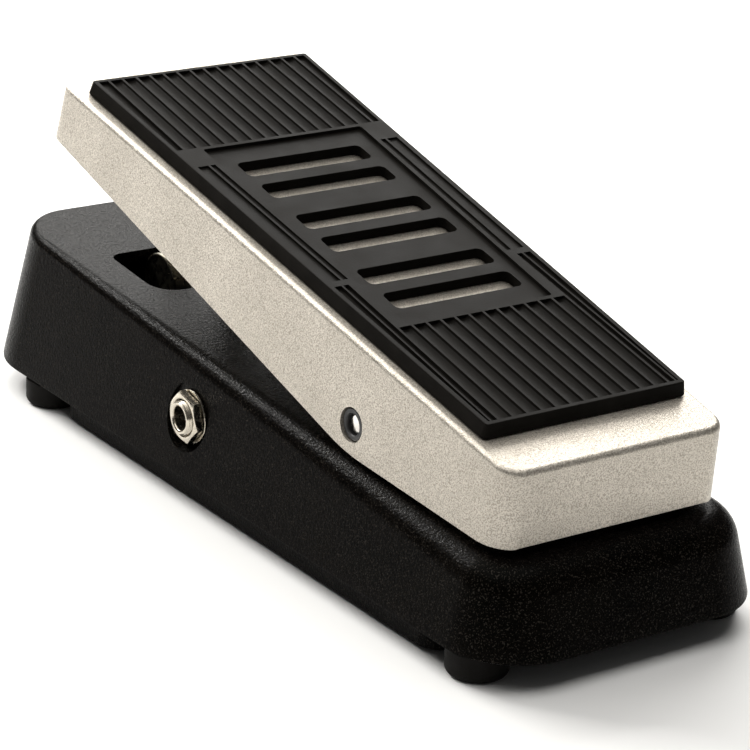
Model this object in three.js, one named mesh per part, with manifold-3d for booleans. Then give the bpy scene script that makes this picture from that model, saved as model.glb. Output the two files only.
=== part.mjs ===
// A rocker (wah) pedal: a cast base, a treadle on a cross pin, and between them a rack, a pinion,
// a potentiometer and a foot switch. Millimetres, +Z up. The origin is on the floor under the middle of
// the base; +Y points to the toe end and -Y to the heel end. The treadle is at rest with the heel down.
import * as THREE from "three";
import { mergeVertices } from "three/addons/utils/BufferGeometryUtils.js";
import Module from "manifold-3d";

const wasm = await Module();
wasm.setup();

// ---------------------------------------------------------------- driving dimensions
const GAP = 0.3; // between neighbouring pieces

const BASE = {
  length: 252,
  toeWidth: 102,
  heelWidth: 90,
  toeHeight: 40.3, // of the casting, at its two ends
  heelHeight: 21.4,
  sideDraft: 0.227, // inward lean for each millimetre of height
  toeDraft: 0.144,
  heelDraft: 0.3,
  toeRadius: 26,
  heelRadius: 20,
  toeEdge: 2.2, // radius of the rounded top edge at the toe half
  heelEdge: 6.5, // and round the heel
  wall: 3,
  bottom: 7.5, // height of the casting's lower rim over the floor
};
const OPENING = { toe: 83.8, heel: 55, half: 29, toeRadius: 3.5, heelRadius: 8 };

const PIVOT = { y: -51.6, z: 43.7, pinRadius: 2.5, pinEnd: 35.7 };
const REST_ANGLE = 11.5; // of the treadle, in degrees, toe up
const TRAVEL_ANGLE = 11; // from heel down to toe down

// The treadle, in its own frame: u runs from the pivot to the toe, w is square to its top.
const TREADLE = {
  toe: 153,
  heel: -58.5,
  toeHalf: 40,
  heelHalf: 34,
  top: 21.1,
  draft: 0.066,
  toeRadius: 5,
  heelRadius: 7.5,
  edgeRadius: 1.5,
  wall: 3,
  toeSkirt: 4.93, // w of the lower edge at the toe, under the pivot and at the heel
  pivotSkirt: -7.92,
  heelSkirt: -0.07,
};
const PAD = { toe: 144.2, heel: -43.7, toeHalf: 36.2, heelHalf: 31.6, thickness: 3.8, draft: 0.2 };
const PANEL = { toe: 99, heel: 3.6, toeHalf: 25.8, heelHalf: 23.2, depth: 1.2 };
const RIB_PITCH = 4.4;

const RACK_PIN = { u: 114, w: 9, radius: 1.25 };
const RACK_X = 2; // middle of the rack and the pinion across the pedal
const MODULE = 0.8;
const PINION_TEETH = 16;
const POT = { y: 74.7, z: 37.5, radius: 8.5 };

const SWITCH = { y: 91.5, bushRadius: 5.9, plungerTop: 59.2 };
const JACK = { y: 13.5, z: 23.5, boreRadius: 3.3 };
const INLET = { y: -22, z: 20.5 };
const FEET = [
  { name: "heel_left", x: -36.3, y: -108.3 },
  { name: "heel_right", x: 36.3, y: -108.3 },
  { name: "toe_left", x: -42.5, y: 90.5 },
  { name: "toe_right", x: 42.5, y: 90.5 },
];
const FOOT = { radius: 8, height: 7.2, hole: 2.1 };
const TRAY = { bottom: 1.4, toe: 79, heel: -98, inset: 3.6, sheet: 1.2 };
const BOARD = { bottom: 28, thickness: 1.6, heel: -60, toe: -8, half: 30, screwX: 25, screwY: -34 };
const BATTERY = { x: 48.5, y: 26.5, z: 17.5, middleY: -82.8, bottom: 3 };

// ---------------------------------------------------------------- worked out from them
const BASE_SLOPE = (BASE.toeHeight - BASE.heelHeight) / BASE.length;
const BASE_MIDDLE = (BASE.toeHeight + BASE.heelHeight) / 2;
const baseTop = (y) => BASE.bottom + BASE_MIDDLE + BASE_SLOPE * y;
const baseCeiling = (y) => baseTop(y) - BASE.wall;
const radians = THREE.MathUtils.degToRad;

// ---------------------------------------------------------------- materials
const finish = (color, roughness, metalness) => () =>
  new THREE.MeshStandardMaterial({ color, roughness, metalness });
const wrinklePaint = finish(0x1b1b1c, 0.6, 0.1);
const satinNickel = finish(0xc9c2b6, 0.38, 0.9);
const blackRubber = finish(0x1a1a1b, 0.75, 0);
const blackPlastic = finish(0x202022, 0.5, 0);
const brightNickel = finish(0xd5d3cf, 0.2, 1);
const zincSteel = finish(0xa9abad, 0.4, 0.9);
const brass = finish(0xb89a55, 0.35, 0.9);
const whiteNylon = finish(0xdedbd0, 0.5, 0);
const greenBoard = finish(0x2a5d3a, 0.6, 0);
const batteryJacket = finish(0x2c3a4a, 0.45, 0.2);
const greyFoam = finish(0x4a4a4c, 0.9, 0);
const redFilm = finish(0x8a2b22, 0.5, 0);

// ---------------------------------------------------------------- shapes
const AXES = {
  x: new THREE.Matrix4().makeBasis(
    new THREE.Vector3(0, 1, 0),
    new THREE.Vector3(0, 0, 1),
    new THREE.Vector3(1, 0, 0),
  ),
  y: new THREE.Matrix4().makeBasis(
    new THREE.Vector3(0, 0, 1),
    new THREE.Vector3(1, 0, 0),
    new THREE.Vector3(0, 1, 0),
  ),
  z: new THREE.Matrix4(),
};

function box(x, y, z) {
  const size = [x, y, z].map(([low, high]) => high - low);
  const middle = [x, y, z].map(([low, high]) => (low + high) / 2);
  return new THREE.BoxGeometry(...size).translate(...middle);
}

// A rod along one axis from low to high; a and b are the other two coordinates of its axis, in cyclic order.
function rod(axis, radius, [low, high], a, b, sides = 20) {
  const geometry = new THREE.CylinderGeometry(radius, radius, high - low, sides);
  geometry.rotateX(Math.PI / 2).translate(a, b, (low + high) / 2);
  return geometry.applyMatrix4(AXES[axis]);
}

// A solid of revolution about a line along one axis. The profile lists [radius, distance along the axis].
function turned(axis, profile, a, b, sides = 20) {
  const points = profile.map(([radius, along]) => new THREE.Vector2(radius, along));
  const geometry = new THREE.LatheGeometry(points, sides);
  geometry.rotateX(Math.PI / 2).translate(a, b, 0);
  return geometry.applyMatrix4(AXES[axis]);
}

function extruded(axis, shape, [low, high], curveSegments = 6) {
  const geometry = new THREE.ExtrudeGeometry(shape, {
    depth: high - low,
    bevelEnabled: false,
    curveSegments,
  });
  return geometry.translate(0, 0, low).applyMatrix4(AXES[axis]);
}

function polygon(points) {
  return new THREE.Shape(points.map(([a, b]) => new THREE.Vector2(a, b)));
}

// A rectangle with rounded corners in the XY plane, its middle at x = 0.
function barShape(y, halfLength, halfWidth, radius) {
  const shape = new THREE.Shape();
  const [reachX, reachY] = [halfLength - radius, halfWidth - radius];
  shape.absarc(reachX, y + reachY, radius, 0, Math.PI / 2, false);
  shape.absarc(-reachX, y + reachY, radius, Math.PI / 2, Math.PI, false);
  shape.absarc(-reachX, y - reachY, radius, Math.PI, Math.PI * 1.5, false);
  shape.absarc(reachX, y - reachY, radius, Math.PI * 1.5, Math.PI * 2, false);
  return shape;
}

// The outline of a plate whose two ends differ in width, anticlockwise, each point with its outward normal.
function outline({ toe, heel, toeHalf, heelHalf, toeRadius, heelRadius, segments = 6 }) {
  const halfAt = (y) => heelHalf + ((toeHalf - heelHalf) * (y - heel)) / (toe - heel);
  const points = [];
  for (const [sideX, sideY, start] of [
    [1, 1, 0],
    [-1, 1, 90],
    [-1, -1, 180],
    [1, -1, 270],
  ]) {
    const radius = sideY > 0 ? toeRadius : heelRadius;
    const centreY = sideY > 0 ? toe - radius : heel + radius;
    for (let i = 0; i <= segments; i++) {
      const angle = radians(start + (90 * i) / segments);
      const normal = new THREE.Vector2(Math.cos(angle), Math.sin(angle));
      const y = centreY + radius * normal.y;
      points.push({ x: sideX * (halfAt(y) - radius) + radius * normal.x, y, normal });
    }
  }
  return points;
}

// A closed solid through rings that have the same number of points, from the lowest ring to the highest.
function loft(rings) {
  const count = rings[0].length;
  const positions = [];
  const faces = [];
  rings.forEach((ring) => ring.forEach((p) => positions.push(p.x, p.y, p.z)));
  for (let level = 0; level + 1 < rings.length; level++) {
    for (let i = 0; i < count; i++) {
      const next = (i + 1) % count;
      const [a, b] = [level * count + i, level * count + next];
      faces.push(a, b, b + count, a, b + count, a + count);
    }
  }
  [rings[0], rings[rings.length - 1]].forEach((ring, end) => {
    const middle = ring.reduce((sum, p) => sum.add(p), new THREE.Vector3()).divideScalar(count);
    const centre = positions.length / 3;
    const first = end === 0 ? 0 : (rings.length - 1) * count;
    positions.push(middle.x, middle.y, middle.z);
    for (let i = 0; i < count; i++) {
      const next = (i + 1) % count;
      if (end === 0) faces.push(centre, first + next, first + i);
      else faces.push(centre, first + i, first + next);
    }
  });
  const geometry = new THREE.BufferGeometry();
  geometry.setAttribute("position", new THREE.Float32BufferAttribute(positions, 3));
  geometry.setIndex(faces);
  return geometry;
}

const flatRing = (points, inset, z) =>
  points.map(({ x, y, normal }) => new THREE.Vector3(x - inset * normal.x, y - inset * normal.y, z));

// Steps of a rounded edge: how far each ring stands in from the wall and below the top.
function edgeSteps(radius, steps) {
  return Array.from({ length: steps + 1 }, (_, i) => {
    const angle = ((Math.PI / 2) * i) / steps;
    return { inset: radius * (1 - Math.cos(angle)), drop: radius * (1 - Math.sin(angle)) };
  });
}

// ---------------------------------------------------------------- joining and cutting
function solid(geometry) {
  const bare = geometry.clone();
  bare.deleteAttribute("normal");
  bare.deleteAttribute("uv");
  const merged = mergeVertices(bare, 1e-4);
  return new wasm.Manifold(
    new wasm.Mesh({
      numProp: 3,
      vertProperties: new Float32Array(merged.attributes.position.array),
      triVerts: new Uint32Array(merged.index.array),
    }),
  );
}

const joined = (...parts) => parts.reduce((sum, part) => sum.add(part));
const cut = (body, ...tools) => tools.reduce((rest, tool) => rest.subtract(tool), body);

function geometryOf(manifold) {
  const { numProp, vertProperties, triVerts } = manifold.getMesh();
  const positions = [];
  for (let i = 0; i < vertProperties.length; i += numProp)
    positions.push(vertProperties[i], vertProperties[i + 1], vertProperties[i + 2]);
  const geometry = new THREE.BufferGeometry();
  geometry.setAttribute("position", new THREE.Float32BufferAttribute(positions, 3));
  geometry.setIndex([...triVerts]);
  return geometry;
}

// ---------------------------------------------------------------- the assembly
const pedal = new THREE.Group();
const treadle = new THREE.Group();
treadle.position.set(0, PIVOT.y, PIVOT.z);
treadle.rotation.x = radians(REST_ANGLE);
pedal.add(treadle);

function add(name, shape, material, group = pedal) {
  const geometry = shape.isBufferGeometry ? shape : geometryOf(shape);
  const faceted = geometry.index ? geometry.toNonIndexed() : geometry;
  faceted.computeVertexNormals();
  const mesh = new THREE.Mesh(faceted, material());
  mesh.name = name;
  group.add(mesh);
  return mesh;
}

// ---------------------------------------------------------------- base casting
// The top edge of the base is crisp at the toe and grows rounder towards the heel.
function baseEdgeRadius(y) {
  const share = THREE.MathUtils.smoothstep(-y, -30, 100);
  return THREE.MathUtils.lerp(BASE.toeEdge, BASE.heelEdge, share);
}

// A ring round the base, inset from its outer skin: at a fixed height over the rim, or at a drop below the
// top. A turn asks for a ring of the rounded edge, from the wall at 0 to the flat top at a right angle.
function baseRing(inset, { height = null, drop = 0, turn = null }) {
  const points = outline({
    toe: BASE.length / 2,
    heel: -BASE.length / 2,
    toeHalf: BASE.toeWidth / 2,
    heelHalf: BASE.heelWidth / 2,
    toeRadius: BASE.toeRadius,
    heelRadius: BASE.heelRadius,
    segments: 7,
  });
  return points.map(({ x, y, normal }) => {
    const draftX = BASE.sideDraft * normal.x;
    const draftY = (normal.y > 0 ? BASE.toeDraft : BASE.heelDraft) * normal.y;
    const radius = turn === null ? 0 : baseEdgeRadius(y);
    const depth = inset + radius * (1 - Math.cos(turn));
    const below = drop + radius * (1 - Math.sin(turn));
    const full = (BASE_MIDDLE + BASE_SLOPE * (y - depth * normal.y) - below) / (1 + BASE_SLOPE * draftY);
    const rise = height ?? full;
    return new THREE.Vector3(
      x - draftX * rise - depth * normal.x,
      y - draftY * rise - depth * normal.y,
      BASE.bottom + rise,
    );
  });
}

function baseOuter() {
  const steps = 4;
  const top = Array.from({ length: steps + 1 }, (_, i) => baseRing(0, { turn: (Math.PI / 2) * (i / steps) }));
  return solid(loft([baseRing(0, { height: 0 }), ...top]));
}

function baseCavity() {
  return solid(loft([baseRing(BASE.wall, { height: -2 }), baseRing(BASE.wall, { drop: BASE.wall })]));
}

const PIVOT_EAR = { inner: 20, outer: 28.2, radius: 6.5, halfFoot: 11 };

function pivotEar(side) {
  const shape = new THREE.Shape();
  const foot = baseTop(PIVOT.y) - 2.5;
  shape.moveTo(PIVOT.y - PIVOT_EAR.halfFoot, foot);
  shape.lineTo(PIVOT.y + PIVOT_EAR.halfFoot, foot);
  shape.lineTo(PIVOT.y + PIVOT_EAR.radius, PIVOT.z);
  shape.absarc(PIVOT.y, PIVOT.z, PIVOT_EAR.radius, 0, Math.PI, false);
  const span = [PIVOT_EAR.inner, PIVOT_EAR.outer].map((x) => side * x).sort((a, b) => a - b);
  return solid(extruded("x", shape, span));
}

// A disc of extra wall inside the casting where a jack or the inlet goes through it.
const wallPad = (side, y, z, radius) => solid(rod("x", radius, side < 0 ? [-46, -39.5] : [39.5, 46], y, z));
const wallHole = (side, radius, y, z) => solid(rod("x", radius, side < 0 ? [-60, -30] : [30, 60], y, z));
const spotFace = (side, radius, face, y, z) =>
  solid(rod("x", radius, side < 0 ? [-60, -face] : [face, 60], y, z, 28));

const JACK_FACE = 42.9; // where the nut seats
const INLET_FACE = 42.6;

function baseCasting() {
  const outer = baseOuter();
  const bosses = FEET.map(({ x, y }) => solid(rod("z", 5.5, [BASE.bottom + 1.5, baseCeiling(y) + 1], x, y)));
  const postSpan = [BOARD.bottom + BOARD.thickness + GAP, baseCeiling(BOARD.screwY) + 1];
  const posts = [-1, 1].map((side) =>
    solid(rod("z", 3.5, postSpan, side * BOARD.screwX, BOARD.screwY)),
  );
  const pads = [-1, 1].map((side) => wallPad(side, JACK.y, JACK.z, 10.5));
  pads.push(wallPad(1, INLET.y, INLET.z, 8));
  const inside = joined(...bosses, ...posts, ...pads).intersect(outer);
  const shell = joined(cut(outer, baseCavity()), inside, pivotEar(-1), pivotEar(1));
  const opening = outline({
    toe: OPENING.toe,
    heel: OPENING.heel,
    toeHalf: OPENING.half,
    heelHalf: OPENING.half,
    toeRadius: OPENING.toeRadius,
    heelRadius: OPENING.heelRadius,
  });
  const tools = [
    solid(loft([flatRing(opening, 0, 30), flatRing(opening, 0, 60)])),
    solid(rod("x", PIVOT.pinRadius + GAP, [-40, 40], PIVOT.y, PIVOT.z)),
    solid(rod("y", 2.3, [PIVOT.y, PIVOT.y + 20], PIVOT.z, 24, 12)),
    solid(rod("z", SWITCH.bushRadius + GAP, [30, 60], 0, SWITCH.y)),
    solid(rod("z", 7.6, [45, 60], 0, SWITCH.y, 24)),
    solid(rod("z", 9.2, [30, 42.9], 0, SWITCH.y, 24)),
    ...FEET.map(({ x, y }) => solid(rod("z", 2, [0, 23], x, y, 12))),
    ...[-1, 1].map((side) => solid(rod("z", 1.6, [25, 33.5], side * BOARD.screwX, BOARD.screwY, 12))),
    ...BRACKET_SCREWS.map((x) => solid(rod("z", 1.8, [33, 40.8], x, BRACKET.screwY, 12))),
    ...[-1, 1].flatMap((side) => [
      wallHole(side, 5, JACK.y, JACK.z),
      spotFace(side, 9.4, JACK_FACE, JACK.y, JACK.z),
    ]),
    wallHole(1, 4.3, INLET.y, INLET.z),
    spotFace(1, 7, INLET_FACE, INLET.y, INLET.z),
  ];
  return cut(shell, ...tools);
}

// ---------------------------------------------------------------- bottom cover and feet
function bottomCover() {
  const sheetTop = BASE.bottom + TRAY.sheet;
  const rim = BASE.wall + GAP;
  const plate = solid(loft([baseRing(rim, { height: 0 }), baseRing(rim, { height: TRAY.sheet })]));
  const halfAt = (y) => BASE.heelWidth / 2 + ((BASE.toeWidth - BASE.heelWidth) / 2) * (y / BASE.length + 0.5);
  const tray = (inset) =>
    outline({
      toe: TRAY.toe - inset,
      heel: TRAY.heel + inset,
      toeHalf: halfAt(TRAY.toe) - TRAY.inset - inset,
      heelHalf: halfAt(TRAY.heel) - TRAY.inset - inset,
      toeRadius: 6,
      heelRadius: 6,
      segments: 4,
    });
  const pan = (inset, low, high) =>
    solid(loft([low, high].map((z) => flatRing(tray(inset), 0, z))));
  const holes = FEET.map(({ x, y }) => solid(rod("z", FOOT.hole, [0, 20], x, y, 12)));
  return cut(
    joined(plate, pan(0, TRAY.bottom, sheetTop)),
    pan(TRAY.sheet, TRAY.bottom + TRAY.sheet, sheetTop + 1),
    ...holes,
  );
}

function foot({ x, y }) {
  const { radius, height, hole } = FOOT;
  const body = turned(
    "z",
    [
      [0, 0],
      [radius - 2, 0],
      [radius - 0.6, 0.6],
      [radius, 2],
      [radius, height],
      [0, height],
    ],
    x,
    y,
    22,
  );
  return cut(
    solid(body),
    solid(rod("z", hole, [-1, 9], x, y, 12)),
    solid(rod("z", 3.6, [-1, 3.4], x, y, 12)),
  );
}

function panScrew(axis, headRadius, headBase, headHeight, shankRadius, shankLength, a, b, direction = 1) {
  const at = (distance) => headBase + direction * distance;
  const profile = [
    [0, at(-headHeight)],
    [headRadius * 0.75, at(-headHeight)],
    [headRadius, at(-headHeight * 0.45)],
    [headRadius, at(0)],
    [shankRadius, at(0)],
    [shankRadius, at(shankLength)],
    [0, at(shankLength)],
  ];
  return turned(axis, direction > 0 ? profile : profile.reverse(), a, b, 14);
}

// ---------------------------------------------------------------- treadle
const treadleOutline = outline({
  toe: TREADLE.toe,
  heel: TREADLE.heel,
  toeHalf: TREADLE.toeHalf,
  heelHalf: TREADLE.heelHalf,
  toeRadius: TREADLE.toeRadius,
  heelRadius: TREADLE.heelRadius,
  segments: 6,
});
const TREADLE_FLOOR = -12; // below every part of the skirt
const treadleInset = (inset, w) => inset - TREADLE.draft * (TREADLE.top - w);
const treadleRing = (inset, w) => flatRing(treadleOutline, treadleInset(inset, w), w);

// The treadle seen from its side: the lower edge falls from the toe to the pivot and rises again to the heel.
function skirtProfile() {
  const { toe, heel, toeSkirt, pivotSkirt, heelSkirt } = TREADLE;
  const toeSlope = (toeSkirt - pivotSkirt) / toe;
  const heelSlope = (heelSkirt - pivotSkirt) / heel;
  const margin = 12;
  const bend = 9;
  const shape = new THREE.Shape();
  shape.moveTo(heel - margin, 30);
  shape.lineTo(heel - margin, pivotSkirt + heelSlope * (heel - margin));
  shape.lineTo(-bend, pivotSkirt - heelSlope * bend);
  shape.quadraticCurveTo(0, pivotSkirt, bend, pivotSkirt + toeSlope * bend);
  shape.lineTo(toe + margin, pivotSkirt + toeSlope * (toe + margin));
  shape.lineTo(toe + margin, 30);
  return shape;
}

const RACK_EARS = [RACK_X - 6.4, RACK_X + 3.4]; // low side of each 3 mm ear
const EAR_THICKNESS = 3;

function treadleCasting() {
  const { top, wall, edgeRadius } = TREADLE;
  const edge = edgeSteps(edgeRadius, 3).map(({ inset, drop }) => treadleRing(inset, top - drop));
  const side = solid(extruded("x", skirtProfile(), [-60, 60]));
  const outer = solid(loft([treadleRing(0, TREADLE_FLOOR), ...edge])).intersect(side);
  const cavity = solid(loft([treadleRing(wall, TREADLE_FLOOR - 1), treadleRing(wall, top - wall)]));
  const ceiling = top - wall;
  const details = [
    ...[-1, 1].map((s) => solid(rod("x", 7.5, s < 0 ? [-40, -28.9] : [28.9, 40], 0, 0, 24))),
    ...RACK_EARS.map((x) =>
      solid(box([x, x + EAR_THICKNESS], [RACK_PIN.u - 4, RACK_PIN.u + 4], [RACK_PIN.w - 3.5, ceiling + 1])),
    ),
    solid(box([-40, 40], [-50, -47], [2.5, ceiling + 1])),
    solid(box([-40, 40], [58, 60.5], [ceiling - 4, ceiling + 1])),
  ];
  const inside = joined(...details).intersect(outer);
  return cut(
    joined(cut(outer, cavity), inside),
    solid(rod("x", 4.6, [-45, 45], 0, 0, 24)),
    solid(rod("x", RACK_PIN.radius + 0.35, [-15, 15], RACK_PIN.u, RACK_PIN.w, 14)),
  );
}

function pivotBush(side) {
  const span = side < 0 ? [-36.6, -29.2] : [29.2, 36.6];
  return cut(
    solid(rod("x", 4.3, span, 0, 0, 24)),
    solid(rod("x", PIVOT.pinRadius + GAP, [-50, 50], 0, 0, 20)),
  );
}

// ---------------------------------------------------------------- tread pad
const PAD_BOTTOM = TREADLE.top + GAP;
const PAD_TOP = PAD_BOTTOM + PAD.thickness;

// Three pairs of cross bars cut through the smooth panel, through which the bare metal shows.
const BARS = { pairs: [81, 51.3, 21.6], step: 6.2, halfLength: 20, halfWidth: 3.9, radius: 1.8 };
const FLUTE = { half: 1.82, depth: 1 };

function treadPad() {
  const rim = outline({ ...PAD, toeRadius: 1.5, heelRadius: 1.5, segments: 2 });
  const slab = solid(
    loft([flatRing(rim, 0, PAD_BOTTOM), flatRing(rim, PAD.draft * PAD.thickness, PAD_TOP)]),
  );
  const panel = outline({ ...PANEL, toeRadius: 1, heelRadius: 1, segments: 2 });
  const recess = solid(loft([flatRing(panel, 0, PAD_TOP - PANEL.depth), flatRing(panel, 0, PAD_TOP + 1)]));
  const bars = BARS.pairs.flatMap((u) =>
    [-1, 1].map((side) => {
      const shape = barShape(u + side * BARS.step, BARS.halfLength, BARS.halfWidth, BARS.radius);
      return solid(extruded("z", shape, [PAD_BOTTOM - 1, PAD_TOP + 1], 4));
    }),
  );
  // Wide flutes with thin ribs left between them, before and behind the panel.
  const flutes = [];
  for (const [low, high, half] of [
    [PANEL.toe + 1.5, PAD.toe - 3, 7],
    [PAD.heel + 3, PANEL.heel - 1.5, 6],
  ]) {
    for (let i = -half; i < half; i++) {
      const x = (i + 0.5) * RIB_PITCH;
      const span = [x - FLUTE.half, x + FLUTE.half];
      flutes.push(solid(box(span, [low, high], [PAD_TOP - FLUTE.depth, PAD_TOP + 1])));
    }
  }
  return cut(slab, recess, ...bars, ...flutes);
}

// ---------------------------------------------------------------- rack and pinion
const restAngle = radians(REST_ANGLE);
const travel = radians(TRAVEL_ANGLE);
const pinReach = Math.hypot(RACK_PIN.u, RACK_PIN.w);
const pinAngle = restAngle + Math.atan2(RACK_PIN.w, RACK_PIN.u);
const pinAtRest = {
  y: PIVOT.y + pinReach * Math.cos(pinAngle),
  z: PIVOT.z + pinReach * Math.sin(pinAngle),
};
// The pin swings on an arc; the rack slides along its chord, leaning toe-ward as it goes down.
const RACK_LEAN = pinAngle - travel / 2;
const pinBow = pinReach * (1 - Math.cos(travel / 2));

const rackGroup = new THREE.Group();
rackGroup.position.set(0, pinAtRest.y, pinAtRest.z);
rackGroup.rotation.x = RACK_LEAN;
pedal.add(rackGroup);

// In the rack's frame the pin is at the origin, +Z points up the rack and +Y to the toe.
const potFromPin = { y: POT.y - pinAtRest.y, z: POT.z - pinAtRest.z };
const potInRack = {
  y: potFromPin.y * Math.cos(RACK_LEAN) + potFromPin.z * Math.sin(RACK_LEAN),
  z: -potFromPin.y * Math.sin(RACK_LEAN) + potFromPin.z * Math.cos(RACK_LEAN),
};
const PITCH_RADIUS = (MODULE * PINION_TEETH) / 2;
const TOOTH_PITCH = Math.PI * MODULE;
const BACKLASH = 0.35; // taken off each flank pair
const RACK = { back: -2.6, half: 3, top: 4, bottom: -47, pitchLine: potInRack.y - PITCH_RADIUS - 0.1 };
const PRESSURE = Math.tan(radians(20));

function rack() {
  const { back, half, top, bottom, pitchLine } = RACK;
  const root = pitchLine - 1.1 * MODULE;
  const tip = pitchLine + 0.9 * MODULE;
  const shape = new THREE.Shape();
  shape.moveTo(back, top);
  shape.lineTo(back, bottom);
  shape.lineTo(root, bottom);
  const flank = TOOTH_PITCH / 4 - BACKLASH / 2;
  const first = Math.ceil((bottom + 1.6 - potInRack.z) / TOOTH_PITCH);
  const last = Math.floor((-9 - potInRack.z) / TOOTH_PITCH);
  for (let i = first; i <= last; i++) {
    const z = potInRack.z + i * TOOTH_PITCH;
    const rootHalf = flank + 1.1 * MODULE * PRESSURE;
    const tipHalf = flank - 0.9 * MODULE * PRESSURE;
    shape.lineTo(root, z - rootHalf);
    shape.lineTo(tip, z - tipHalf);
    shape.lineTo(tip, z + tipHalf);
    shape.lineTo(root, z + rootHalf);
  }
  shape.lineTo(root, -7);
  shape.lineTo(2.6, -5.5);
  shape.lineTo(2.6, top);
  const body = solid(extruded("x", shape, [RACK_X - half, RACK_X + half]));
  const slot = new THREE.Shape();
  const radius = RACK_PIN.radius + 0.35;
  const reach = pinBow / 2 + 0.15;
  slot.absarc(pinBow / 2 + reach, 0, radius, -Math.PI / 2, Math.PI / 2, false);
  slot.absarc(pinBow / 2 - reach, 0, radius, Math.PI / 2, (3 * Math.PI) / 2, false);
  return cut(body, solid(extruded("x", slot, [-20, 20])));
}

function pinion() {
  const baseRadius = PITCH_RADIUS * Math.cos(radians(20));
  const tipRadius = PITCH_RADIUS + 0.9 * MODULE;
  const rootRadius = PITCH_RADIUS - 1.15 * MODULE;
  const involute = (radius) => {
    const roll = Math.sqrt(Math.max((radius / baseRadius) ** 2 - 1, 0));
    return roll - Math.atan(roll);
  };
  const halfAt = (radius) =>
    (TOOTH_PITCH / 2 - BACKLASH) / 2 / PITCH_RADIUS + involute(PITCH_RADIUS) - involute(radius);
  const levels = [rootRadius, baseRadius + 0.05, PITCH_RADIUS, tipRadius];
  const points = [];
  for (let tooth = 0; tooth < PINION_TEETH; tooth++) {
    // a gap faces the rack's tooth at rest, on the pinion's heel side
    const middle = Math.PI + (Math.PI * (2 * tooth + 1)) / PINION_TEETH;
    for (const radius of levels) points.push([radius, middle - halfAt(radius)]);
    for (const radius of [...levels].reverse()) points.push([radius, middle + halfAt(radius)]);
  }
  const shape = polygon(
    points.map(([radius, angle]) => [radius * Math.cos(angle), radius * Math.sin(angle)]),
  );
  const gear = solid(extruded("x", shape, [RACK_X - 3.5, RACK_X + 3.5]));
  const hub = solid(rod("x", 4.6, [RACK_X + 3.5, RACK_X + 8.5], 0, 0));
  const bore = solid(rod("x", 2.8, [-20, 30], 0, 0));
  const screwHole = solid(rod("z", 1.3, [0, 9], RACK_X + 6, 0, 10));
  return cut(joined(gear, hub), bore, screwHole);
}

const pinionGroup = new THREE.Group();
pinionGroup.position.set(0, POT.y, POT.z);
pinionGroup.rotation.x = RACK_LEAN;
pedal.add(pinionGroup);

// ---------------------------------------------------------------- potentiometer, bracket and rack guide
function potBody() {
  const { y, z, radius } = POT;
  const can = turned(
    "x",
    [
      [0, -17.5],
      [radius - 0.8, -17.5],
      [radius, -16.8],
      [radius, -9],
      [3.5, -9],
      [3.5, -2.6],
      [0, -2.6],
    ],
    y,
    z,
    28,
  );
  const wafer = solid(box([-12.5, -9.3], [y - 6, y + 6], [z - 13, z - 4]));
  return cut(joined(solid(can), wafer), solid(rod("x", 2.8, [-10, 5], y, z)));
}

const BRACKET = { left: -8.7, right: 14, sheet: 1.5, flangeTop: 38, screwY: 46.5 };
const BRACKET_SCREWS = [1.5, 9.5];

function potBracket() {
  const { left, right, sheet, flangeTop, screwY } = BRACKET;
  const plate = polygon([
    [40, flangeTop - sheet],
    [52, flangeTop - sheet],
    [60, 29],
    [82.4, 29],
    [82.4, 43.3],
    [57.6, 43.3],
    [55.6, flangeTop],
    [40, flangeTop],
  ]);
  return cut(
    joined(
      solid(extruded("x", plate, [left, left + sheet])),
      solid(box([left, right], [40, 53], [flangeTop - sheet, flangeTop])),
    ),
    solid(rod("x", 3.8, [-20, 0], POT.y, POT.z)),
    solid(rod("x", 1.6, [-20, 0], GUIDE_SCREW.y, GUIDE_SCREW.z, 12)),
    ...BRACKET_SCREWS.map((x) => solid(rod("z", 1.8, [30, 45], x, screwY, 12))),
  );
}

// The guide wraps the rack's back and sides. It is drawn in the rack's frame and reaches back to the bracket.
const GUIDE = { low: -45, high: -32, back: RACK.back - GAP - 3.5, front: 0.6, cheek: 1.8 };
const guideMiddle = { y: GUIDE.back + 1.75, z: (GUIDE.low + GUIDE.high) / 2 };
const GUIDE_SCREW = {
  y: pinAtRest.y + guideMiddle.y * Math.cos(RACK_LEAN) - guideMiddle.z * Math.sin(RACK_LEAN),
  z: pinAtRest.z + guideMiddle.y * Math.sin(RACK_LEAN) + guideMiddle.z * Math.cos(RACK_LEAN),
};

function rackGuide() {
  const inner = RACK.half + GAP;
  const height = [GUIDE.low, GUIDE.high];
  const width = [BRACKET.left + BRACKET.sheet + GAP, RACK_X + inner + GUIDE.cheek];
  const block = solid(box(width, [GUIDE.back, GUIDE.back + 3.5], height));
  const cheeks = [-1, 1].map((side) => {
    const span = [side * inner, side * (inner + GUIDE.cheek)].map((x) => RACK_X + x);
    span.sort((a, b) => a - b);
    return solid(box(span, [GUIDE.back + 1, GUIDE.front], height));
  });
  const hole = solid(rod("x", 1.4, [-10, -3], guideMiddle.y, guideMiddle.z, 12));
  return cut(joined(block, ...cheeks), hole);
}

const washer = (axis, outer, inner, span, a, b, sides = 16) =>
  cut(
    solid(rod(axis, outer, span, a, b, sides)),
    solid(rod(axis, inner, [span[0] - 1, span[1] + 1], a, b, sides)),
  );

// A hexagon nut; flats is the width across its flats.
const hexNut = (axis, flats, inner, span, a, b) =>
  cut(
    solid(rod(axis, flats / Math.sqrt(3), span, a, b, 6)),
    solid(rod(axis, inner, [span[0] - 1, span[1] + 1], a, b, 24)),
  );

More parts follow.
